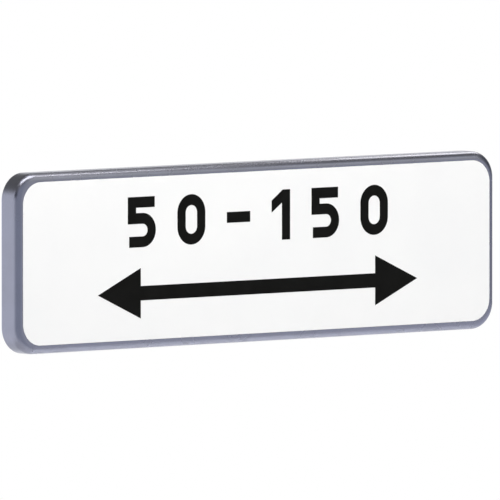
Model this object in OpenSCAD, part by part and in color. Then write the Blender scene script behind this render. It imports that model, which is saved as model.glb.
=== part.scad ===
// Supplementary road sign plate: a pressed aluminium tray with rounded folds, a white
// film on its flat face, and two slotted C rails welded across its open back.
//
// Frame: X along the sign, Z up, Y from front to back. The face looks along -Y.
// The origin is the centre of the plane that the rear faces of both rails share.

/* [Plate] */
// Width of the sign over its edges
panel_w = 700; // [400:10:1000]
// Height of the sign over its edges
panel_h = 200; // [160:5:400]
// Depth of the return edge, from the flat face to the cut edge
edge_depth = 25; // [20:0.5:40]
// Thickness of the pressed sheet
sheet_t = 2; // [1:0.1:3]
// Outside radius of the fold between the face and the return edge
fold_r = 9.5; // [5:0.5:14]
// Outside radius of the corners, seen from the front
corner_r = 30; // [20:1:60]

/* [Face film] */
// Thickness of the film
film_t = 0.4; // [0.2:0.05:1]
// Bare strip of flat sheet between the film and the fold
film_inset = 0.3; // [0:0.1:5]
// Corner radius of the film, never under what keeps it on the flat sheet
film_r = 25; // [15:0.5:60]

/* [Rails] */
// Height of each rail's centre line above or below the sign's nearer edge
rail_inset = 50; // [45:1:70]
// Distance from each end of a rail to the sign's side edge
rail_end_gap = 50; // [40:1:120]
// Width of a rail
rail_w = 40; // [30:1:48]
// Thickness of a rail's wall
rail_t = 2; // [1:0.1:3]
// Outside radius of a rail's bends
rail_bend_r = 3.5; // [3.2:0.1:6]
// Width of the slot between a rail's lips
slot_w = 12; // [8:0.5:16]
// How far a rail stands out behind the cut edge
rail_proud = 1; // [0:0.1:4]

/* [Spot welds] */
// Number of welds along a rail
weld_count = 7; // [3:1:12]
// Diameter of the dimple that each weld leaves
weld_d = 7; // [4:0.5:10]
// Depth of that dimple
weld_depth = 0.4; // [0.1:0.05:0.6]
// Distance from a rail's end to its first weld
weld_end_gap = 20; // [10:1:40]

/* [Hidden] */
$fn = 96;

// Flat part of the face, inside the folds
flat_w = panel_w - 2 * fold_r;
flat_h = panel_h - 2 * fold_r;
flat_r = corner_r - fold_r;

film_w = flat_w - 2 * film_inset;
film_h = flat_h - 2 * film_inset;
film_corner_r = max(film_r, flat_r - film_inset);

// Centres of the corner arcs, measured from the middle of the face
corner_x = panel_w / 2 - corner_r;
corner_y = panel_h / 2 - corner_r;

// Depth of the rails' shared rear plane, measured from the flat face
rear_plane = edge_depth + rail_proud;

rail_len = panel_w - 2 * rail_end_gap;
rail_h = rear_plane - sheet_t;
rail_z = panel_h / 2 - rail_inset;

// Radius of the round electrode tip that leaves a dimple of this width and depth
weld_tip_r = (weld_d * weld_d / 4 + weld_depth * weld_depth) / (2 * weld_depth);
weld_span = rail_len - 2 * weld_end_gap;

// Rectangle with round corners, centred on the origin
module rounded_rect(w, h, r) {
    square([w - 2 * r, h], center = true);
    square([w, h - 2 * r], center = true);
    for (sx = [-1, 1], sy = [-1, 1])
        translate([sx * (w / 2 - r), sy * (h / 2 - r)]) circle(r = r);
}

// Section of the rim: x runs outwards from a corner's centre line and y runs back
// from the face. A quarter ring turns the sheet into the straight return edge.
module rim_section() {
    translate([flat_r, fold_r]) intersection() {
        difference() {
            circle(r = fold_r);
            circle(r = fold_r - sheet_t);
        }
        translate([0, -fold_r]) square(fold_r);
    }
    translate([corner_r - sheet_t, fold_r]) square([sheet_t, edge_depth - fold_r]);
}

// Straight run of the rim, with its middle on the Y axis and its length along X
module rim_side(length, reach) {
    translate([-length / 2, reach, 0])
        rotate([90, 0, 90]) linear_extrude(length) rim_section();
}

// The rim, carried round all four sides and corners
module rim() {
    for (turn = [0, 180]) {
        rotate([0, 0, turn]) rim_side(2 * corner_x, corner_y);
        rotate([0, 0, turn + 90]) rim_side(2 * corner_y, corner_x);
        rotate([0, 0, turn]) translate([corner_x, corner_y, 0])
            rotate_extrude(angle = 90) rim_section();
        rotate([0, 0, turn]) translate([-corner_x, corner_y, 0])
            rotate([0, 0, 90]) rotate_extrude(angle = 90) rim_section();
    }
}

// Stands up what is drawn face down on the XY plane, with its face towards -Y
module upright() {
    translate([0, -rear_plane, 0]) rotate([90, 0, 180]) children();
}

// Section of a rail, with its floor on the X axis and its slot at the top
module rail_section() {
    translate([0, rail_h / 2]) difference() {
        rounded_rect(rail_w, rail_h, rail_bend_r);
        rounded_rect(rail_w - 2 * rail_t, rail_h - 2 * rail_t, rail_bend_r - rail_t);
        translate([-slot_w / 2, 0]) square([slot_w, rail_h]);
    }
}

// Cap of a ball, which presses a shallow dimple into a floor at height 0
module weld_dimple() {
    intersection() {
        translate([0, 0, weld_tip_r - weld_depth]) sphere(r = weld_tip_r);
        translate([0, 0, -weld_depth]) cylinder(d = weld_d + 1, h = 2 * weld_depth);
    }
}

// A rail along X, standing on the XY plane with its slot facing up
module rail() {
    difference() {
        translate([-rail_len / 2, 0, 0])
            rotate([90, 0, 90]) linear_extrude(rail_len) rail_section();
        for (i = [0 : weld_count - 1])
            translate([-weld_span / 2 + i * weld_span / (weld_count - 1), 0, rail_t])
                weld_dimple();
    }
}

module panel_shell() {
    color("lightsteelblue") upright() {
        linear_extrude(sheet_t) rounded_rect(flat_w, flat_h, flat_r);
        rim();
    }
}

module face_film() {
    color("white") upright() translate([0, 0, -film_t]) linear_extrude(film_t)
        rounded_rect(film_w, film_h, film_corner_r);
}

module rail_upper() {
    color("silver") upright() translate([0, rail_z, sheet_t]) rail();
}

module rail_lower() {
    color("silver") upright() translate([0, -rail_z, sheet_t]) rail();
}

panel_shell();
face_film();
rail_upper();
rail_lower();
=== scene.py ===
"""Looks of a supplementary road sign plate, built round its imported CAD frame.

The plate is a pressed aluminium tray with a white film on its face, a black legend on
the film and two slotted rails across its open back. The frame gives each piece's place
and outer size. Lengths are in metres. The sign's are written as millimetres times MM,
and those of the lamps and the floor as plain metres.
"""

import logging
import math
from dataclasses import dataclass, field
from enum import Enum
from typing import Any, Iterable

import bmesh
import bpy
import numpy as np
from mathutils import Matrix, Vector


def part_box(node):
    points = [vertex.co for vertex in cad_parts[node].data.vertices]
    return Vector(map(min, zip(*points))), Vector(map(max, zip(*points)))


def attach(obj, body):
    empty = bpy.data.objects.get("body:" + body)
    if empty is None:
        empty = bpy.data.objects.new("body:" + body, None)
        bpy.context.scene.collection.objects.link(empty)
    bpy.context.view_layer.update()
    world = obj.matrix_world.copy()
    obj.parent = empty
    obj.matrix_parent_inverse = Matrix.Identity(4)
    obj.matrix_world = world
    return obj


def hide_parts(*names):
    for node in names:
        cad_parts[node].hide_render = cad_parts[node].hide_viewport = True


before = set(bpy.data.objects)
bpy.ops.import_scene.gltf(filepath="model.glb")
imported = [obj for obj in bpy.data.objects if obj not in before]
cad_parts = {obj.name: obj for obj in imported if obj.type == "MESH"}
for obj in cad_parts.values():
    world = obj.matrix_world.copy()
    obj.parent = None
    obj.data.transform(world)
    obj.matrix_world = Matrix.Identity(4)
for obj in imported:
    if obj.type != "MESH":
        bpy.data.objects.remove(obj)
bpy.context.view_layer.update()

MM = 0.001
BODY = "root"
# Bends sharper than this, in degrees, are shaded as hard edges
SHARP_BEND = 35.0
# Two depths nearer to each other than this are the same one
SAME_DEPTH = 0.0001 * MM

Colour = tuple[float, float, float]
# A place or a stretch along X, Y and Z
Triple = tuple[float, float, float]
# Where a change starts and where it is complete
Span = tuple[float, float]

log = logging.getLogger("sign")


class Slot(Enum):
    """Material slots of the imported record."""

    SHEET = "sheet"
    FILM = "film"
    RAIL = "rail"
    LEGEND = "legend"


class Glyph(Enum):
    """Signs that the upper row can hold."""

    ZERO = "0"
    ONE = "1"
    FIVE = "5"
    DASH = "-"


class Wire:
    """A node's output socket, on which arithmetic adds Math nodes."""

    def __init__(self, graph: "Graph", socket: bpy.types.NodeSocket) -> None:
        """Keeps the graph and the socket.

        Args:
            graph: the graph that new nodes go into.
            socket: the output that this wire starts from.
        """
        self.graph = graph
        self.socket = socket

    def _math(self, operation: str, *values: Any) -> "Wire":
        """Adds a Math node.

        Args:
            operation: the Math node's operation.
            values: its inputs, as numbers or wires.

        Returns:
            The node's result.
        """
        settings = {"operation": operation}
        return self.graph.node("ShaderNodeMath", settings, dict(enumerate(values)))["Value"]

    def __add__(self, other: Any) -> "Wire":
        """Adds a number or wire."""
        return self._math("ADD", self, other)

    def __sub__(self, other: Any) -> "Wire":
        """Takes a number or wire away."""
        return self._math("SUBTRACT", self, other)

    def __rsub__(self, other: Any) -> "Wire":
        """Is taken away from a number."""
        return self._math("SUBTRACT", other, self)

    def __mul__(self, other: Any) -> "Wire":
        """Multiplies by a number or wire."""
        return self._math("MULTIPLY", self, other)

    def __truediv__(self, other: Any) -> "Wire":
        """Divides by a number or wire."""
        return self._math("DIVIDE", self, other)

    def __rtruediv__(self, other: Any) -> "Wire":
        """Divides a number."""
        return self._math("DIVIDE", other, self)

    def __pow__(self, other: Any) -> "Wire":
        """Raises to a power."""
        return self._math("POWER", self, other)

    def __rpow__(self, other: Any) -> "Wire":
        """Is the power that a number is raised to."""
        return self._math("POWER", other, self)

    __radd__ = __add__
    __rmul__ = __mul__

    def above(self, start: float, end: float) -> "Wire":
        """Rises smoothly from 0 to 1 as this value goes from start to end.

        Args:
            start: the value at which it leaves 0.
            end: the value at which it reaches 1, which may be the lower one.

        Returns:
            The share from 0 to 1.
        """
        span = {"Value": self, "From Min": start, "From Max": end}
        settings = {"interpolation_type": "SMOOTHSTEP"}
        return self.graph.node("ShaderNodeMapRange", settings, span)["Result"]

    def folded(self, pitch: float) -> "Wire":
        """Distance to the nearest whole multiple of a pitch.

        Args:
            pitch: the distance between two marks.

        Returns:
            The distance, never negative.
        """
        return self._math("PINGPONG", self, pitch / 2)


class Graph:
    """The node tree of a material or world."""

    # Sockets of a Mix node for colours: the share, both colours and the result. They
    # go by number, because its sockets for other kinds of value have the same names.
    MIX_INPUTS = (0, 6, 7)
    MIX_RESULT = 2

    def __init__(self, tree: bpy.types.NodeTree) -> None:
        """Empties a tree and takes it over.

        Args:
            tree: the node tree to fill.
        """
        self.tree = tree
        tree.nodes.clear()

    def node(
        self,
        kind: str,
        settings: dict[str, Any] | None = None,
        inputs: dict[Any, Any] | None = None,
    ) -> dict[Any, Wire]:
        """Adds one node.

        Args:
            kind: the node's type name.
            settings: properties by name, which are set before its sockets.
            inputs: numbers, tuples or wires by socket name or number.

        Returns:
            The node's outputs by name.
        """
        made = self.tree.nodes.new(kind)
        for name, value in (settings or {}).items():
            setattr(made, name, value)
        for name, value in (inputs or {}).items():
            if isinstance(value, Wire):
                self.tree.links.new(value.socket, made.inputs[name])
            else:
                made.inputs[name].default_value = value
        return {out.name: Wire(self, out) for out in made.outputs if out.enabled}

    def mix(self, share: Any, first: Any, second: Any) -> Wire:
        """Mixes two colours.

        Args:
            share: 0 for the first colour and 1 for the second.
            first: a colour or wire.
            second: a colour or wire.

        Returns:
            The mixed colour.
        """
        node = self.tree.nodes.new("ShaderNodeMix")
        node.data_type = "RGBA"
        for number, value in zip(self.MIX_INPUTS, (share, first, second)):
            if isinstance(value, Wire):
                self.tree.links.new(value.socket, node.inputs[number])
            elif isinstance(value, tuple):
                node.inputs[number].default_value = (*value, 1.0)
            else:
                node.inputs[number].default_value = value
        return Wire(self, node.outputs[self.MIX_RESULT])

    def place_mm(self, stretch: Triple = (1.0, 1.0, 1.0)) -> Wire:
        """Place on the object in millimetres, with each axis stretched.

        Args:
            stretch: factors for X, Y and Z, above 1 for a finer pattern.

        Returns:
            The scaled place as a vector.
        """
        place = self.node("ShaderNodeTexCoord")["Object"]
        scale = tuple(s / MM for s in stretch)
        settings = {"operation": "MULTIPLY"}
        return self.node("ShaderNodeVectorMath", settings, {0: place, 1: scale})["Vector"]

    def axes(self, vector: Wire) -> tuple[Wire, Wire, Wire]:
        """Splits a vector into its X, Y and Z."""
        parts = self.node("ShaderNodeSeparateXYZ", None, {"Vector": vector})
        return parts["X"], parts["Y"], parts["Z"]

    def noise(self, place: Wire, scale: float = 1.0, detail: float = 2.0) -> Wire:
        """Soft random pattern from 0 to 1.

        Args:
            place: where it is read, in millimetres.
            scale: how many lumps there are to a millimetre.
            detail: how many finer layers it has.

        Returns:
            The pattern's value.
        """
        inputs = {"Vector": place, "Scale": scale, "Detail": detail}
        return self.node("ShaderNodeTexNoise", None, inputs)["Fac"]

    def bump(self, height: Wire, distance: float) -> Wire:
        """Turns a height pattern into a bent normal.

        Args:
            height: the pattern.
            distance: the height in metres that 1 in the pattern stands for.

        Returns:
            The normal.
        """
        inputs = {"Height": height, "Distance": distance, "Strength": 1.0}
        return self.node("ShaderNodeBump", None, inputs)["Normal"]

    def surface(self, **inputs: Any) -> None:
        """Ends a material in one Principled shader.

        Args:
            inputs: the shader's sockets, with underscores in place of spaces.
        """
        named = {name.replace("_", " "): value for name, value in inputs.items()}
        shader = self.node("ShaderNodeBsdfPrincipled", None, named)["BSDF"]
        self.node("ShaderNodeOutputMaterial", None, {"Surface": shader})


def new_material(name: str) -> tuple[bpy.types.Material, Graph]:
    """Makes an empty material.

    Args:
        name: its name in the file.

    Returns:
        The material and its graph.
    """
    material = bpy.data.materials.new(name)
    material.use_nodes = True
    return material, Graph(material.node_tree)


@dataclass(frozen=True)
class SheetFinish:
    """Satin rolled aluminium with a faint blue cast and a bare cut edge.

    The bare edge starts at the depth edge_start. A scale is a number of lumps to a
    millimetre, a stretch gives one for each axis, and relief is the pattern's height.
    """

    edge_start: float
    edge_fade: float = 0.25 * MM
    colour: Colour = (0.345, 0.360, 0.462)
    cloudy: Colour = (0.325, 0.338, 0.428)
    bare_edge: Colour = (0.600, 0.605, 0.630)
    cloud_scale: float = 0.018
    cloud_span: Span = (0.35, 0.65)
    peel_scale: float = 0.55
    grain_stretch: Triple = (0.06, 2.2, 2.2)
    grain_share: float = 0.6
    relief: float = 0.02 * MM
    roughness: float = 0.24
    cloud_roughness: float = 0.06
    edge_roughness: float = 0.16

    def material(self) -> bpy.types.Material:
        """Builds the finish: clouds, rolling lines along X and a bare cut edge."""
        made, graph = new_material("satin_sheet")
        place = graph.place_mm()
        clouds = graph.noise(place, self.cloud_scale, detail=3.0)
        grain = graph.noise(graph.place_mm(self.grain_stretch), detail=3.0)
        peel = graph.noise(place, self.peel_scale)
        depth = graph.axes(place)[1]
        cut = depth.above(self.edge_start / MM, (self.edge_start + self.edge_fade) / MM)
        colour = graph.mix(clouds.above(*self.cloud_span), self.colour, self.cloudy)
        roughness = self.roughness + self.cloud_roughness * clouds + self.edge_roughness * cut
        graph.surface(
            Base_Color=graph.mix(cut, colour, self.bare_edge),
            Metallic=1.0,
            Roughness=roughness,
            Normal=graph.bump(peel + self.grain_share * grain, self.relief),
        )
        return made


@dataclass(frozen=True)
class RailFinish:
    """Mill-finish aluminium strip with rolling lines and heat tint at each weld.

    The welds are weld_pitch apart at the height weld_line, in a floor that faces back
    from floor_depth. The tint fades over ring_span, in weld radii, and over fade_depths
    behind the floor.
    """

    weld_pitch: float
    weld_radius: float
    weld_line: float
    floor_depth: float
    ring_span: Span = (2.1, 0.9)
    fade_depths: Span = (1.5 * MM, 0.5 * MM)
    colour: Colour = (0.600, 0.608, 0.630)
    streak: Colour = (0.500, 0.510, 0.540)
    tint: Colour = (0.330, 0.300, 0.300)
    tint_share: float = 0.8
    streak_stretch: Triple = (0.012, 1.3, 1.3)
    streak_span: Span = (0.3, 0.7)
    line_stretch: Triple = (0.05, 5.0, 5.0)
    relief: float = 0.002 * MM
    roughness: float = 0.30
    streak_roughness: float = 0.14
    heat_roughness: float = 0.12

    def _heat(self, graph: Graph, along: Wire, depth: Wire, height: Wire) -> Wire:
        """Share of heat tint, which is 1 at a weld.

        Args:
            graph: the graph that the nodes go into.
            along: place along X in millimetres.
            depth: place in depth in millimetres.
            height: height in millimetres.

        Returns:
            The share from 0 to 1.
        """
        aside = height - self.weld_line / MM
        lengthwise = along.folded(self.weld_pitch / MM)
        reach = (lengthwise * lengthwise + aside * aside) ** 0.5
        ring = reach.above(*(share * self.weld_radius / MM for share in self.ring_span))
        floor = depth.above(*((self.floor_depth + step) / MM for step in self.fade_depths))
        return ring * floor

    def material(self, name: str) -> bpy.types.Material:
        """Builds the finish.

        Args:
            name: the material's name, because each rail has its own weld line.

        Returns:
            The material.
        """
        made, graph = new_material(name)
        heat = self._heat(graph, *graph.axes(graph.place_mm()))
        streaks = graph.noise(graph.place_mm(self.streak_stretch), detail=4.0)
        lines = graph.noise(graph.place_mm(self.line_stretch))
        colour = graph.mix(streaks.above(*self.streak_span), self.colour, self.streak)
        roughness = self.roughness + self.streak_roughness * streaks + self.heat_roughness * heat
        graph.surface(
            Base_Color=graph.mix(heat * self.tint_share, colour, self.tint),
            Metallic=1.0,
            Roughness=roughness,
            Normal=graph.bump(lines, self.relief),
        )
        return made


@dataclass(frozen=True)
class FilmFinish:
    """White reflective film: a smooth skin over a layer of fine glass beads."""

    colour: Colour = (0.900, 0.900, 0.898)
    shaded: Colour = (0.872, 0.874, 0.878)
    shade_span: Span = (0.35, 0.7)
    bead_scale: float = 4.0
    bead_share: float = 0.5
    drift_scale: float = 0.012
    relief: float = 0.0015 * MM
    roughness: float = 0.36
    drift_roughness: float = 0.08

    def material(self) -> bpy.types.Material:
        """Builds the finish."""
        made, graph = new_material("white_film")
        place = graph.place_mm()
        beads = graph.noise(place, self.bead_scale, detail=1.0)
        drift = graph.noise(place, self.drift_scale)
        shade = beads * self.bead_share + drift * (1 - self.bead_share)
        graph.surface(
            Base_Color=graph.mix(shade.above(*self.shade_span), self.colour, self.shaded),
            Roughness=self.roughness + self.drift_roughness * drift,
            Normal=graph.bump(beads, self.relief),
        )
        return made


@dataclass(frozen=True)
class LegendFinish:
    """Black overlay film, a little duller than the white one."""

    colour: Colour = (0.0038, 0.0038, 0.0034)
    faded: Colour = (0.0056, 0.0056, 0.0052)
    drift_scale: float = 0.05
    drift_span: Span = (0.3, 0.7)
    bead_scale: float = 4.0
    relief: float = 0.001 * MM
    roughness: float = 0.42
    drift_roughness: float = 0.06
    gloss: float = 0.08

    def material(self) -> bpy.types.Material:
        """Builds the finish."""
        made, graph = new_material("black_film")
        place = graph.place_mm()
        drift = graph.noise(place, self.drift_scale, detail=3.0)
        beads = graph.noise(place, self.bead_scale, detail=1.0)
        graph.surface(
            Base_Color=graph.mix(drift.above(*self.drift_span), self.colour, self.faded),
            Roughness=self.roughness + self.drift_roughness * drift,
            Specular_IOR_Level=self.gloss,
            Normal=graph.bump(beads, self.relief),
        )
        return made


class MeshDraft:
    """Grids that become one mesh, each of them a closed shell."""

    def __init__(self) -> None:
        """Starts with nothing."""
        self._points: list[np.ndarray] = []
        self._faces: list[list[int]] = []
        self._count = 0

    def tube(self, surface: np.ndarray, loop: bool = False) -> None:
        """Adds a surface whose rows run round a closed outline.

        Each quad joins two neighbours on the outline at two neighbouring stations. The
        first and last station are closed by a flat face, unless the tube is a loop.

        Args:
            surface: points by place round the outline and station along the tube.
            loop: whether the last station joins the first.
        """
        rows, columns = surface.shape[:2]
        numbers = self._count + np.arange(rows * columns).reshape(rows, columns)
        self._points.append(surface.reshape(-1, 3))
        self._count += rows * columns
        here = np.vstack([numbers, numbers[:1]])
        if loop:
            here = np.hstack([here, here[:, :1]])
        else:
            self._faces += [numbers[::-1, 0].tolist(), numbers[:, -1].tolist()]
        corners = [here[:-1, :-1], here[1:, :-1], here[1:, 1:], here[:-1, 1:]]
        self._faces += np.stack(corners, axis=-1).reshape(-1, 4).tolist()

    def piece(
        self, name: str, material: bpy.types.Material, slot: Slot, nodes: Iterable[str] = ()
    ) -> bpy.types.Object:
        """Makes the object and puts it on the frame.

        Args:
            name: the piece's name.
            material: its finish.
            slot: the record's material slot, which is not used.
            nodes: CAD nodes that it stands for.

        Returns:
            The object, at the origin, with its place in its mesh.
        """
        mesh = bpy.data.meshes.new(name)
        mesh.from_pydata(np.concatenate(self._points).tolist(), [], self._faces)
        shell = bmesh.new()
        shell.from_mesh(mesh)
        bmesh.ops.recalc_face_normals(shell, faces=shell.faces)
        shell.to_mesh(mesh)
        shell.free()
        mesh.shade_smooth()
        mesh.set_sharp_from_angle(angle=math.radians(SHARP_BEND))
        mesh.materials.append(material)
        made = bpy.data.objects.new(name, mesh)
        bpy.context.scene.collection.objects.link(made)
        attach(made, BODY)
        if nodes:
            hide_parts(*nodes)
        return made


def arc(
    centre: tuple[float, float], radius: float, start: float, end: float, steps: int
) -> np.ndarray:
    """Points along part of a circle.

    Args:
        centre: the circle's centre.
        radius: its radius.
        start: first angle in degrees.
        end: last angle in degrees.
        steps: number of chords.

    Returns:
        One row of two coordinates for each point.
    """
    turn = np.radians(np.linspace(start, end, steps + 1))
    return np.column_stack(
        [centre[0] + radius * np.cos(turn), centre[1] + radius * np.sin(turn)]
    )


def mitres(path: np.ndarray, closed: bool) -> np.ndarray:
    """Sideways step at each point of a path that shifts the whole path by 1.

    At a bend it is the sum of both runs' left normals over one plus their dot product,
    which keeps the shifted runs parallel to the old ones.

    Args:
        path: rows of two coordinates.
        closed: whether the last point joins the first.

    Returns:
        One row of two coordinates for each point.
    """
    runs = np.diff(path, axis=0, append=path[:1])
    if not closed:
        runs[-1] = runs[-2]
    runs /= np.linalg.norm(runs, axis=1, keepdims=True)
    left = np.column_stack([-runs[:, 1], runs[:, 0]])
    before = np.roll(left, 1, axis=0)
    if not closed:
        before[0] = left[0]
    return (left + before) / (1 + np.sum(left * before, axis=1, keepdims=True))


@dataclass
class RoundedLoop:
    """Rounded rectangle in the XZ plane that a section is carried round."""

    half_x: float
    half_z: float
    radius: float
    steps: int = 32

    def carry(self, section: np.ndarray) -> np.ndarray:
        """Carries a section round the loop.

        A point of the section is (u, y): u is its distance from the corner arcs'
        centres and y its depth. At the angle t it lies at the corner's centre plus u
        times (cos t, sin t), and the straight sides join the corners.

        Args:
            section: rows of u and y.

        Returns:
            Points by place along the loop and section row.
        """
        turn = np.linspace(0, math.pi / 2, self.steps + 1)
        quarter = np.arange(4)[:, None] * math.pi / 2 + turn
        angle = quarter.ravel()
        signs = np.array([[1, 1], [-1, 1], [-1, -1], [1, -1]], float)
        reach = np.array([self.half_x - self.radius, self.half_z - self.radius])
        centre = np.repeat(signs * reach, self.steps + 1, axis=0)
        u, y = section.T
        x = centre[:, :1] + u * np.cos(angle)[:, None]
        z = centre[:, 1:] + u * np.sin(angle)[:, None]
        return np.stack([x, np.broadcast_to(y, x.shape), z], axis=-1)


@dataclass
class CadPiece:
    """A piece that takes its place and outer size from one node of the frame."""

    name: str
    node: str
    low: Vector = field(init=False)
    high: Vector = field(init=False)

    def __post_init__(self) -> None:
        """Reads the node's box."""
        self.low, self.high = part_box(self.node)


@dataclass
class PressedPanel(CadPiece):
    """The tray: flat face, rounded fold and return edge of one sheet."""

    sheet: float = 2 * MM
    fold: float = 9.5 * MM
    fold_steps: int = 28
    inner_steps: int = 24
    corner: float = 30 * MM
    burr: float = 0.3 * MM
    burr_steps: int = 4
    hold: float = 0.4 * MM

    def section(self) -> np.ndarray:
        """Section of the rim, from the face round the fold and the cut edge to the floor.

        Returns:
            Rows of u and y. Each straight run has an extra point, the hold away from a
            bend, so that the shading of flat parts stays flat.
        """
        front, rear = self.low.y, self.high.y
        flat = self.corner - self.fold
        centre = (flat, front + self.fold)
        inner = self.corner - self.sheet
        end = rear - self.burr
        return np.vstack([
            [(flat - self.hold, front)],
            arc(centre, self.fold, -90, 0, self.fold_steps),
            [(self.corner, front + self.fold + self.hold), (self.corner, end - self.hold)],
            arc((self.corner - self.burr, end), self.burr, 0, 90, self.burr_steps),
            arc((inner + self.burr, end), self.burr, 90, 180, self.burr_steps),
            [(inner, end - self.hold), (inner, front + self.fold + self.hold)],
            arc(centre, self.fold - self.sheet, 0, -90, self.inner_steps),
            [(flat - self.hold, front + self.sheet)],
        ])

    def build(self, finish: SheetFinish) -> bpy.types.Object:
        """Carries the section round the outline and closes the face and the floor.

        Args:
            finish: the sheet's finish.

        Returns:
            The finished piece.
        """
        loop = RoundedLoop(self.high.x, self.high.z, self.corner)
        draft = MeshDraft()
        draft.tube(loop.carry(self.section()))
        return draft.piece(self.name, finish.material(), Slot.SHEET, [self.node])


@dataclass
class FaceFilm(CadPiece):
    """The white film on the flat face."""

    corner: float = 25 * MM
    edge: float = 0.12 * MM
    edge_steps: int = 4
    hold: float = 0.36 * MM

    @property
    def front_middle(self) -> Vector:
        """Middle of the film's front."""
        return Vector((0.0, self.low.y, (self.low.z + self.high.z) / 2))

    def build(self, finish: FilmFinish) -> bpy.types.Object:
        """Carries a thin section with a soft front edge round the outline.

        Args:
            finish: the film's finish.

        Returns:
            The finished piece.
        """
        front, rear, edge = self.low.y, self.high.y, self.edge
        section = np.vstack([
            [(self.corner - self.hold, front)],
            arc((self.corner - edge, front + edge), edge, -90, 0, self.edge_steps),
            [(self.corner, rear)],
        ])
        loop = RoundedLoop(self.high.x, self.high.z, self.corner)
        draft = MeshDraft()
        draft.tube(loop.carry(section))
        return draft.piece(self.name, finish.material(), Slot.FILM, [self.node])


@dataclass
class FixingRail(CadPiece):
    """A C rail, rolled from strip, with weld dimples in its floor.

    The floor has a finer grid round each weld, as far out as grid_reach. That reach and
    the collar's place and width are in weld radii.
    """

    strip: float = 2 * MM
    bend: float = 3.5 * MM
    bend_steps: int = 10
    inner_steps: int = 8
    slot: float = 12 * MM
    burr: float = 0.25 * MM
    burr_steps: int = 3
    end_burr: float = 0.15 * MM
    end_rows: int = 4
    weld_count: int = 7
    weld_radius: float = 3.5 * MM
    weld_depth: float = 0.4 * MM
    weld_end: float = 20 * MM
    collar: float = 0.05 * MM
    collar_place: float = 1.12
    collar_width: float = 0.12
    grid_reach: float = 1.4
    rows_across: int = 12
    rows_along: int = 19

    @property
    def middle(self) -> float:
        """Height of the rail's centre line."""
        return (self.low.z + self.high.z) / 2

    @property
    def weld_span(self) -> float:
        """Distance from the first weld to the last."""
        return self.high.x - self.low.x - 2 * self.weld_end

    @property
    def weld_pitch(self) -> float:
        """Distance between neighbouring welds."""
        return self.weld_span / (self.weld_count - 1)

    def finish(self) -> RailFinish:
        """The strip's finish, with its heat tint on this rail's welds."""
        floor = self.low.y + self.strip
        return RailFinish(self.weld_pitch, self.weld_radius, self.middle, floor)

    def section(self) -> np.ndarray:
        """Closed outline of the C, in Z across the rail and Y in depth.

        One half runs from the middle of the outer floor round the outside to the lip's
        tip and back inside to the middle of the inner floor. The other is its mirror.

        Returns:
            Rows of across and depth, round the outline once.
        """
        half = (self.high.z - self.low.z) / 2
        floor, back = self.low.y, self.high.y
        bend, tight, tip = self.bend, self.bend - self.strip, self.burr
        wall, lip = half - bend, self.slot / 2 + tip
        fine = np.linspace(0, self.weld_radius * self.grid_reach, self.rows_across)
        flat = np.column_stack([fine, np.full_like(fine, floor + self.strip)])
        side = np.vstack([
            [(wall - tip, floor)],
            arc((wall, floor + bend), bend, -90, 0, self.bend_steps),
            arc((wall, back - bend), bend, 0, 90, self.bend_steps),
            [(wall - tip, back)],
            arc((lip, back - tip), tip, 90, 180, self.burr_steps),
            arc((lip, back - self.strip + tip), tip, 180, 270, self.burr_steps),
            [(wall - tip, back - self.strip)],
            arc((wall, back - bend), tight, 90, 0, self.inner_steps),
            arc((wall, floor + bend), tight, 0, -90, self.inner_steps),
            [(wall - tip, floor + self.strip)],
            flat[::-1],
        ])
        mirrored = side[:-1][::-1] * (-1, 1)
        return np.vstack([side, mirrored])

    def stations(self) -> np.ndarray:
        """Places along X: both rounded ends and a fine row over each weld."""
        ease = self.end_burr * (1 - np.cos(np.linspace(0, math.pi / 2, self.end_rows)))
        welds = np.linspace(-self.weld_span / 2, self.weld_span / 2, self.weld_count)
        row = np.linspace(-self.grid_reach, self.grid_reach, self.rows_along)
        inner = (welds[:, None] + row * self.weld_radius).ravel()
        return np.concatenate([self.low.x + ease, inner, (self.high.x - ease)[::-1]])

    def surface(self) -> np.ndarray:
        """The C carried along X, eased in at both ends and dimpled at each weld.

        Near an end the outline shrinks by a quarter circle. Within a weld's radius the
        inner floor sinks by the depth times one minus the squared share of the radius,
        and a low collar, a bell curve over the distance from its ring, stands round it.

        Returns:
            Points by place round the outline and place along X.
        """
        outline, x = self.section(), self.stations()
        to_end = np.minimum(x - self.low.x, self.high.x - x)
        share = np.clip(1 - to_end / self.end_burr, 0, 1)
        inset = self.end_burr * (1 - np.sqrt(1 - share**2))
        step = mitres(outline, closed=True)
        across = outline[:, :1] + step[:, :1] * inset
        depth = outline[:, 1:] + step[:, 1:] * inset
        lengthwise = np.abs((x + self.weld_span / 2) / self.weld_pitch)
        lengthwise = np.abs(lengthwise - np.round(lengthwise)) * self.weld_pitch
        reach = np.hypot(across, lengthwise) / self.weld_radius
        dimple = self.weld_depth * np.clip(1 - reach**2, 0, None)
        off_ring = (reach - self.collar_place) / self.collar_width
        collar = self.collar * np.exp(-(off_ring**2))
        on_floor = np.isclose(outline[:, 1:], self.low.y + self.strip, atol=SAME_DEPTH)
        depth = depth + np.where(on_floor, collar - dimple, 0)
        x_grid = np.broadcast_to(x, across.shape)
        return np.stack([x_grid, depth, across + self.middle], axis=-1)

    def build(self) -> bpy.types.Object:
        """Makes the rail.

        Returns:
            The finished piece.
        """
        draft = MeshDraft()
        draft.tube(self.surface())
        material = self.finish().material(f"{self.name}_strip")
        return draft.piece(self.name, material, Slot.RAIL, [self.node])


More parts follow.
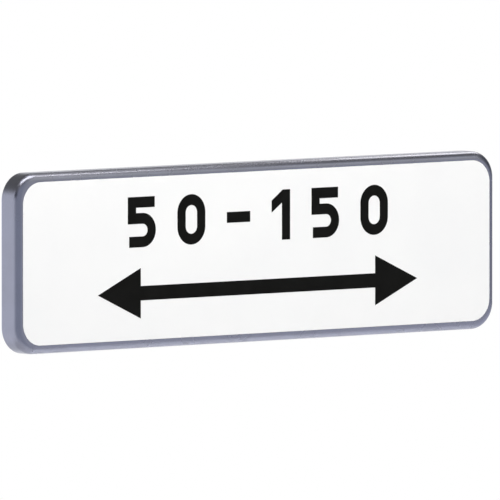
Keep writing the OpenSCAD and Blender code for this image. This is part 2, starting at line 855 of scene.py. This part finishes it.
@dataclass
class Overlay:
    """Cut shapes of thin film, in X and Z, that stand on the white film."""

    base: float
    thick: float = 0.15 * MM
    soft: float = 0.05 * MM
    draft: MeshDraft = field(default_factory=MeshDraft)

    def _lift(self, flat: np.ndarray, height: np.ndarray) -> np.ndarray:
        """Places X and Z at a height in front of the white film."""
        y = np.broadcast_to(self.base - height, flat.shape[:-1])
        return np.stack([flat[..., 0], y, flat[..., 1]], axis=-1)

    def stroke(self, path: np.ndarray, width: float, closed: bool = False) -> None:
        """Carries a flat bar's section along a path.

        Args:
            path: rows of X and Z along the middle of the stroke.
            width: the stroke's width.
            closed: whether the path ends where it starts.
        """
        half, soft, thick = width / 2, self.soft, self.thick
        aside = np.array([-half, -half, soft - half, half - soft, half, half])
        height = np.array([0, thick - soft, thick, thick, thick - soft, 0])
        flat = path + aside[:, None, None] * mitres(path, closed)
        self.draft.tube(self._lift(flat, height[:, None]), loop=closed)

    def patch(self, outline: np.ndarray) -> None:
        """Fills an outline that runs anticlockwise as seen from the front.

        Args:
            outline: rows of X and Z, not repeated at the end.
        """
        inward = mitres(outline, closed=True)
        inset = np.array([0, 0, self.soft])
        height = np.array([0, self.thick - self.soft, self.thick])
        flat = outline[:, None] + inset[:, None] * inward[:, None]
        self.draft.tube(self._lift(flat, height))


@dataclass
class NumberRow:
    """A row of plain numbers, drawn with one stroke width.

    The five's bowl and the one's flag are shares of the height. The five's top and foot
    are shorter than the sign is wide by shares of that width. The one's peak and notch
    are moved by flag_slack, as a share of the stroke and of the flag's fall.
    """

    signs: tuple[Glyph, ...] = (
        Glyph.FIVE, Glyph.ZERO, Glyph.DASH, Glyph.ONE, Glyph.FIVE, Glyph.ZERO,
    )
    middle: float = 40.5 * MM
    height: float = 56 * MM
    stroke: float = 12 * MM
    gap: float = 31.3 * MM
    wide: float = 40.5 * MM
    narrow: float = 27 * MM
    dash: float = 34 * MM
    round_steps: int = 32
    bowl: float = 0.232
    top_short: float = 0.04
    foot_short: float = 0.05
    flag_fall: float = 0.21
    flag_depth: float = 0.24
    flag_slack: float = 0.1

    def width(self, sign: Glyph) -> float:
        """Width of one sign."""
        return {Glyph.ONE: self.narrow, Glyph.DASH: self.dash}.get(sign, self.wide)

    def _zero(self, overlay: Overlay, at: np.ndarray) -> None:
        """Closed track with half-circle ends, one stroke wide.

        Args:
            overlay: the film that it is cut from.
            at: its lower left corner.
        """
        half, radius = self.stroke / 2, (self.wide - self.stroke) / 2
        middle = self.wide / 2
        path = np.vstack([
            arc((middle, self.height - half - radius), radius, 0, 180, self.round_steps),
            arc((middle, half + radius), radius, 180, 360, self.round_steps),
        ])
        overlay.stroke(at + path, self.stroke, closed=True)

    def _five(self, overlay: Overlay, at: np.ndarray) -> None:
        """Flat top, upright and a half-circle bowl, in one stroke.

        Args:
            overlay: the film that it is cut from.
            at: its lower left corner.
        """
        half, top = self.stroke / 2, self.height - self.stroke / 2
        radius = self.bowl * self.height
        waist, middle = half + 2 * radius, self.wide - half - radius
        path = np.vstack([
            [(self.wide - self.top_short * self.wide, top), (half, top), (half, waist)],
            arc((middle, half + radius), radius, 90, -90, self.round_steps),
            [(self.foot_short * self.wide, half)],
        ])
        overlay.stroke(at + path, self.stroke)

    def _one(self, overlay: Overlay, at: np.ndarray) -> None:
        """Upright with a sloping flag, as one outline.

        Args:
            overlay: the film that it is cut from.
            at: its lower left corner.
        """
        right, left, top = self.narrow, self.narrow - self.stroke, self.height
        fall, thick = self.flag_fall * top, self.flag_depth * top
        peak = left + self.flag_slack * self.stroke
        notch = top - thick - self.flag_slack * fall
        outline = np.array([
            (left, 0), (right, 0), (right, top), (peak, top),
            (0, top - fall), (0, top - fall - thick), (left, notch),
        ])
        overlay.patch(at + outline)

    def _dash(self, overlay: Overlay, at: np.ndarray) -> None:
        """Level bar at half height.

        Args:
            overlay: the film that it is cut from.
            at: the row's lower left corner at this sign.
        """
        level = self.height / 2
        overlay.stroke(at + np.array([(0, level), (self.dash, level)]), self.stroke)

    def build(self, face: float, material: bpy.types.Material) -> bpy.types.Object:
        """Lays the signs out from the middle and cuts them.

        Args:
            face: the depth of the white film's front.
            material: the black film's finish.

        Returns:
            The finished piece.
        """
        overlay = Overlay(face)
        draw = {
            Glyph.ZERO: self._zero, Glyph.ONE: self._one,
            Glyph.FIVE: self._five, Glyph.DASH: self._dash,
        }
        widths = [self.width(sign) for sign in self.signs]
        left = -(sum(widths) + self.gap * (len(widths) - 1)) / 2
        foot = self.middle - self.height / 2
        for sign, width in zip(self.signs, widths):
            draw[sign](overlay, np.array([left, foot]))
            left += width + self.gap
        return overlay.draft.piece("legend_numbers", material, Slot.LEGEND)


@dataclass
class ArrowRow:
    """A long arrow with a head at both ends."""

    middle: float = -38.5 * MM
    height: float = 56 * MM
    length: float = 466 * MM
    head: float = 62 * MM
    shaft: float = 16 * MM

    def build(self, face: float, material: bpy.types.Material) -> bpy.types.Object:
        """Cuts the arrow: a quarter of its outline, mirrored twice.

        Args:
            face: the depth of the white film's front.
            material: the black film's finish.

        Returns:
            The finished piece.
        """
        tip, half, bar = self.length / 2, self.height / 2, self.shaft / 2
        neck = tip - self.head
        right = np.array([(neck, -bar), (neck, -half), (tip, 0), (neck, half), (neck, bar)])
        outline = np.vstack([right, right * (-1, -1)])
        overlay = Overlay(face)
        overlay.patch(outline + (0, self.middle))
        return overlay.draft.piece("legend_arrow", material, Slot.LEGEND)


@dataclass
class Sign:
    """The whole plate: tray, film, both rails and the legend."""

    panel: PressedPanel = field(
        default_factory=lambda: PressedPanel("pressed_panel", "panel_shell")
    )
    film: FaceFilm = field(default_factory=lambda: FaceFilm("white_film", "face_film"))
    upper: FixingRail = field(default_factory=lambda: FixingRail("upper_rail", "rail_upper"))
    lower: FixingRail = field(default_factory=lambda: FixingRail("lower_rail", "rail_lower"))
    numbers: NumberRow = field(default_factory=NumberRow)
    arrow: ArrowRow = field(default_factory=ArrowRow)

    def build(self) -> list[bpy.types.Object]:
        """Builds every piece.

        Returns:
            The pieces in the order in which they were made.
        """
        pieces = [
            self.panel.build(SheetFinish(self.panel.high.y - self.panel.burr)),
            self.film.build(FilmFinish()),
            self.upper.build(),
            self.lower.build(),
        ]
        front, black = self.film.low.y, LegendFinish().material()
        pieces.append(self.numbers.build(front, black))
        pieces.append(self.arrow.build(front, black))
        return pieces


@dataclass(frozen=True)
class Softbox:
    """A rectangular area lamp, turned towards a point or straight down."""

    name: str
    place: Triple
    size: tuple[float, float]
    power: float
    tint: Colour = (1.0, 1.0, 1.0)
    aim: Triple | None = None
    spread: float = 180.0
    in_reflections: bool = True

    def build(self) -> None:
        """Adds the lamp."""
        lamp = bpy.data.lights.new(self.name, "AREA")
        lamp.shape = "RECTANGLE"
        lamp.size, lamp.size_y = self.size
        lamp.energy = self.power
        lamp.spread = math.radians(self.spread)
        lamp.color = self.tint
        made = bpy.data.objects.new(self.name, lamp)
        made.location = self.place
        made.visible_glossy = self.in_reflections
        aim = (*self.place[:2], 0.0) if self.aim is None else self.aim
        towards = Vector(aim) - Vector(self.place)
        made.rotation_euler = towards.to_track_quat("-Z", "Y").to_euler()
        bpy.context.scene.collection.objects.link(made)


@dataclass(frozen=True)
class Room:
    """The room that the metal mirrors, as a colour for each direction.

    It is white behind and grey in front. The right wall darkens upwards, the ceiling
    comes lower behind than in front, and a dark doorway is high up on the left. The
    spans are along X, Y or Z in a direction of length 1, and tilt is how much lower the
    ceiling comes for each unit of depth.
    """

    front_left: Colour = (0.47, 0.49, 0.54)
    front_right: Colour = (0.66, 0.66, 0.68)
    front_high: Colour = (0.68, 0.67, 0.60)
    back: Colour = (1.0, 1.0, 1.0)
    side_low: Colour = (0.76, 0.76, 0.83)
    side_high: Colour = (0.13, 0.13, 0.14)
    ceiling: Colour = (0.20, 0.195, 0.18)
    doorway: Colour = (0.02, 0.025, 0.04)
    front_height: Span = (-0.05, 0.30)
    front_across: Span = (0.1, 0.6)
    back_depth: Span = (-0.6, 0.0)
    side_height: Span = (-0.35, 0.20)
    side_across: Span = (0.70, 0.84)
    tilt: float = 0.22
    ceiling_height: Span = (0.36, 0.66)
    door_across: Span = (-0.54, -0.78)
    door_depth: Span = (0.04, -0.26)
    door_foot: Span = (0.10, 0.26)
    door_head: Span = (0.60, 0.45)

    def colour(self, graph: Graph, across: Wire, depth: Wire, height: Wire) -> Wire:
        """Colour of the room in one direction.

        Args:
            graph: the graph that the nodes go into.
            across: the direction's X.
            depth: the direction's Y.
            height: the direction's Z.

        Returns:
            The colour.
        """
        right = graph.mix(height.above(*self.front_height), self.front_right, self.front_high)
        front = graph.mix(across.above(*self.front_across), self.front_left, right)
        walls = graph.mix(depth.above(*self.back_depth), front, self.back)
        side = graph.mix(height.above(*self.side_height), self.side_low, self.side_high)
        walls = graph.mix(across.above(*self.side_across), walls, side)
        tilted = height + depth * self.tilt
        door = across.above(*self.door_across) * depth.above(*self.door_depth)
        door = door * height.above(*self.door_foot) * tilted.above(*self.door_head)
        room = graph.mix(tilted.above(*self.ceiling_height), walls, self.ceiling)
        return graph.mix(door, room, self.doorway)


@dataclass(frozen=True)
class Studio:
    """Pale floor, soft light and a white background."""

    room: Room = Room()
    background: Colour = (1.0, 1.0, 1.0)
    floor_level: float = -1.2
    floor_half: float = 40.0
    floor_rows: int = 9
    floor_colour: Colour = (0.82, 0.82, 0.82)
    floor_worn: Colour = (0.74, 0.74, 0.74)
    wear_share: float = 0.06
    wear_scale: float = 0.02
    floor_roughness: float = 0.9
    floor_gloss: float = 0.1
    fade: Span = (1.35, 2.2)
    lamps: tuple[Softbox, ...] = (
        Softbox(
            "key", (-0.68, -5.2, 6.5), (2.4, 2.4), 532.0,
            aim=(0.0, 0.0, 0.0), in_reflections=False,
        ),
        Softbox("floor_pool", (1.0, 0.2, 3.4), (0.7, 0.7), 6.0, spread=40.0),
        Softbox("corner_bar", (-0.28, -0.17, 0.62), (0.56, 0.20), 1.31, (1.0, 0.97, 0.90)),
        Softbox("front_panel", (0.80, -0.80, 0.62), (0.80, 0.60), 0.36),
        Softbox("left_bar", (0.15, -0.13, 0.62), (0.30, 0.055), 0.26, (1.0, 0.95, 0.84)),
        Softbox("left_panel", (0.18, -0.20, 0.64), (0.55, 1.1), 0.70, (1.0, 0.96, 0.88)),
        Softbox("right_box", (0.86, 0.28, 0.62), (0.52, 0.36), 1.60, (1.0, 0.95, 0.84)),
    )

    def floor(self) -> None:
        """Lays the floor, whose far part fades into the white background."""
        side = np.linspace(-self.floor_half, self.floor_half, self.floor_rows)
        x, y = np.meshgrid(side, side, indexing="ij")
        mesh = bpy.data.meshes.new("floor")
        numbers = np.arange(x.size).reshape(x.shape)
        quads = np.stack(
            [numbers[:-1, :-1], numbers[1:, :-1], numbers[1:, 1:], numbers[:-1, 1:]], -1
        )
        points = np.stack([x, y, np.full_like(x, self.floor_level)], -1).reshape(-1, 3)
        mesh.from_pydata(points.tolist(), [], quads.reshape(-1, 4).tolist())
        mesh.materials.append(self._floor_material())
        made = bpy.data.objects.new("floor", mesh)
        bpy.context.scene.collection.objects.link(made)

    def _floor_material(self) -> bpy.types.Material:
        """Pale floor whose far part is the background to the camera, and the room to metal."""
        made, graph = new_material("pale_floor")
        place = graph.node("ShaderNodeTexCoord")["Object"]
        away = graph.node("ShaderNodeVectorMath", {"operation": "LENGTH"}, {0: place})["Value"]
        path = graph.node("ShaderNodeLightPath")
        camera, glossy = path["Is Camera Ray"], path["Is Glossy Ray"]
        across, depth, height = graph.axes(place)
        far = self.room.colour(graph, across / away, depth / away, height / away)
        wear = graph.noise(graph.place_mm(), self.wear_scale, detail=3.0) * self.wear_share
        paint = graph.node(
            "ShaderNodeBsdfPrincipled",
            None,
            {
                "Base Color": graph.mix(wear, self.floor_colour, self.floor_worn),
                "Roughness": self.floor_roughness,
                "Specular IOR Level": self.floor_gloss,
            },
        )["BSDF"]
        horizon = graph.mix(camera, far, self.background)
        glow = graph.node("ShaderNodeEmission", None, {"Color": horizon})["Emission"]
        share = away.above(*self.fade) * (camera + glossy)
        mixed = graph.node("ShaderNodeMixShader", None, {0: share, 1: paint, 2: glow})["Shader"]
        graph.node("ShaderNodeOutputMaterial", None, {"Surface": mixed})
        return made

    def sky(self) -> None:
        """The white background for the camera, and the room for all other rays."""
        world = bpy.data.worlds.new("studio")
        world.use_nodes = True
        bpy.context.scene.world = world
        graph = Graph(world.node_tree)
        towards = graph.node("ShaderNodeTexCoord")["Generated"]
        camera = graph.node("ShaderNodeLightPath")["Is Camera Ray"]
        room = self.room.colour(graph, *graph.axes(towards))
        colour = graph.mix(camera, room, self.background)
        light = graph.node("ShaderNodeBackground", None, {"Color": colour, "Strength": 1.0})
        graph.node("ShaderNodeOutputWorld", None, {"Surface": light["Background"]})

    def build(self) -> None:
        """Builds the floor, the world and the lamps."""
        self.floor()
        self.sky()
        for lamp in self.lamps:
            lamp.build()
        bpy.context.scene.view_settings.view_transform = "Standard"


@dataclass(frozen=True)
class PhotoCamera:
    """Long lens at the photograph's angle.

    The film's middle is seen at middle_px in a picture of picture_px pixels a side, in
    which a pixel covers pixel_size at the sign. The far limit is a multiple of the
    camera's distance.
    """

    azimuth: float = -40.35
    elevation: float = 3.62
    lens: float = 1500.0
    sensor: float = 36.0
    picture_px: float = 500.0
    middle_px: tuple[float, float] = (258.5, 252.2)
    pixel_size: float = 1.1118 * MM
    near_limit: float = 0.1
    far_limit: float = 4.0

    def build(self, middle: Vector) -> None:
        """Adds the camera.

        Args:
            middle: the middle of the white film's front.
        """
        turn, rise = math.radians(self.azimuth), math.radians(self.elevation)
        back = Vector(
            (math.sin(turn) * math.cos(rise), -math.cos(turn) * math.cos(rise), math.sin(rise))
        )
        right = Vector((math.cos(turn), math.sin(turn), 0.0))
        up = back.cross(right)
        half = self.picture_px / 2
        aim = middle - right * ((self.middle_px[0] - half) * self.pixel_size)
        aim += up * ((self.middle_px[1] - half) * self.pixel_size)
        distance = self.picture_px * self.pixel_size * self.lens / self.sensor
        data = bpy.data.cameras.new("photo_camera")
        data.lens = self.lens
        data.sensor_width = self.sensor
        data.clip_start = self.near_limit
        data.clip_end = self.far_limit * distance
        made = bpy.data.objects.new("photo_camera", data)
        made.location = aim + back * distance
        made.rotation_euler = (-back).to_track_quat("-Z", "Y").to_euler()
        bpy.context.scene.collection.objects.link(made)
        bpy.context.scene.camera = made


def main() -> None:
    """Builds the camera, the sign and the studio, and reports each piece."""
    logging.basicConfig(level=logging.INFO, format="%(name)s: %(message)s")
    sign = Sign()
    PhotoCamera().build(sign.film.front_middle)
    for piece in sign.build():
        log.info("made %s with %d faces", piece.name, len(piece.data.polygons))
    Studio().build()


if __name__ == "__main__":
    main()
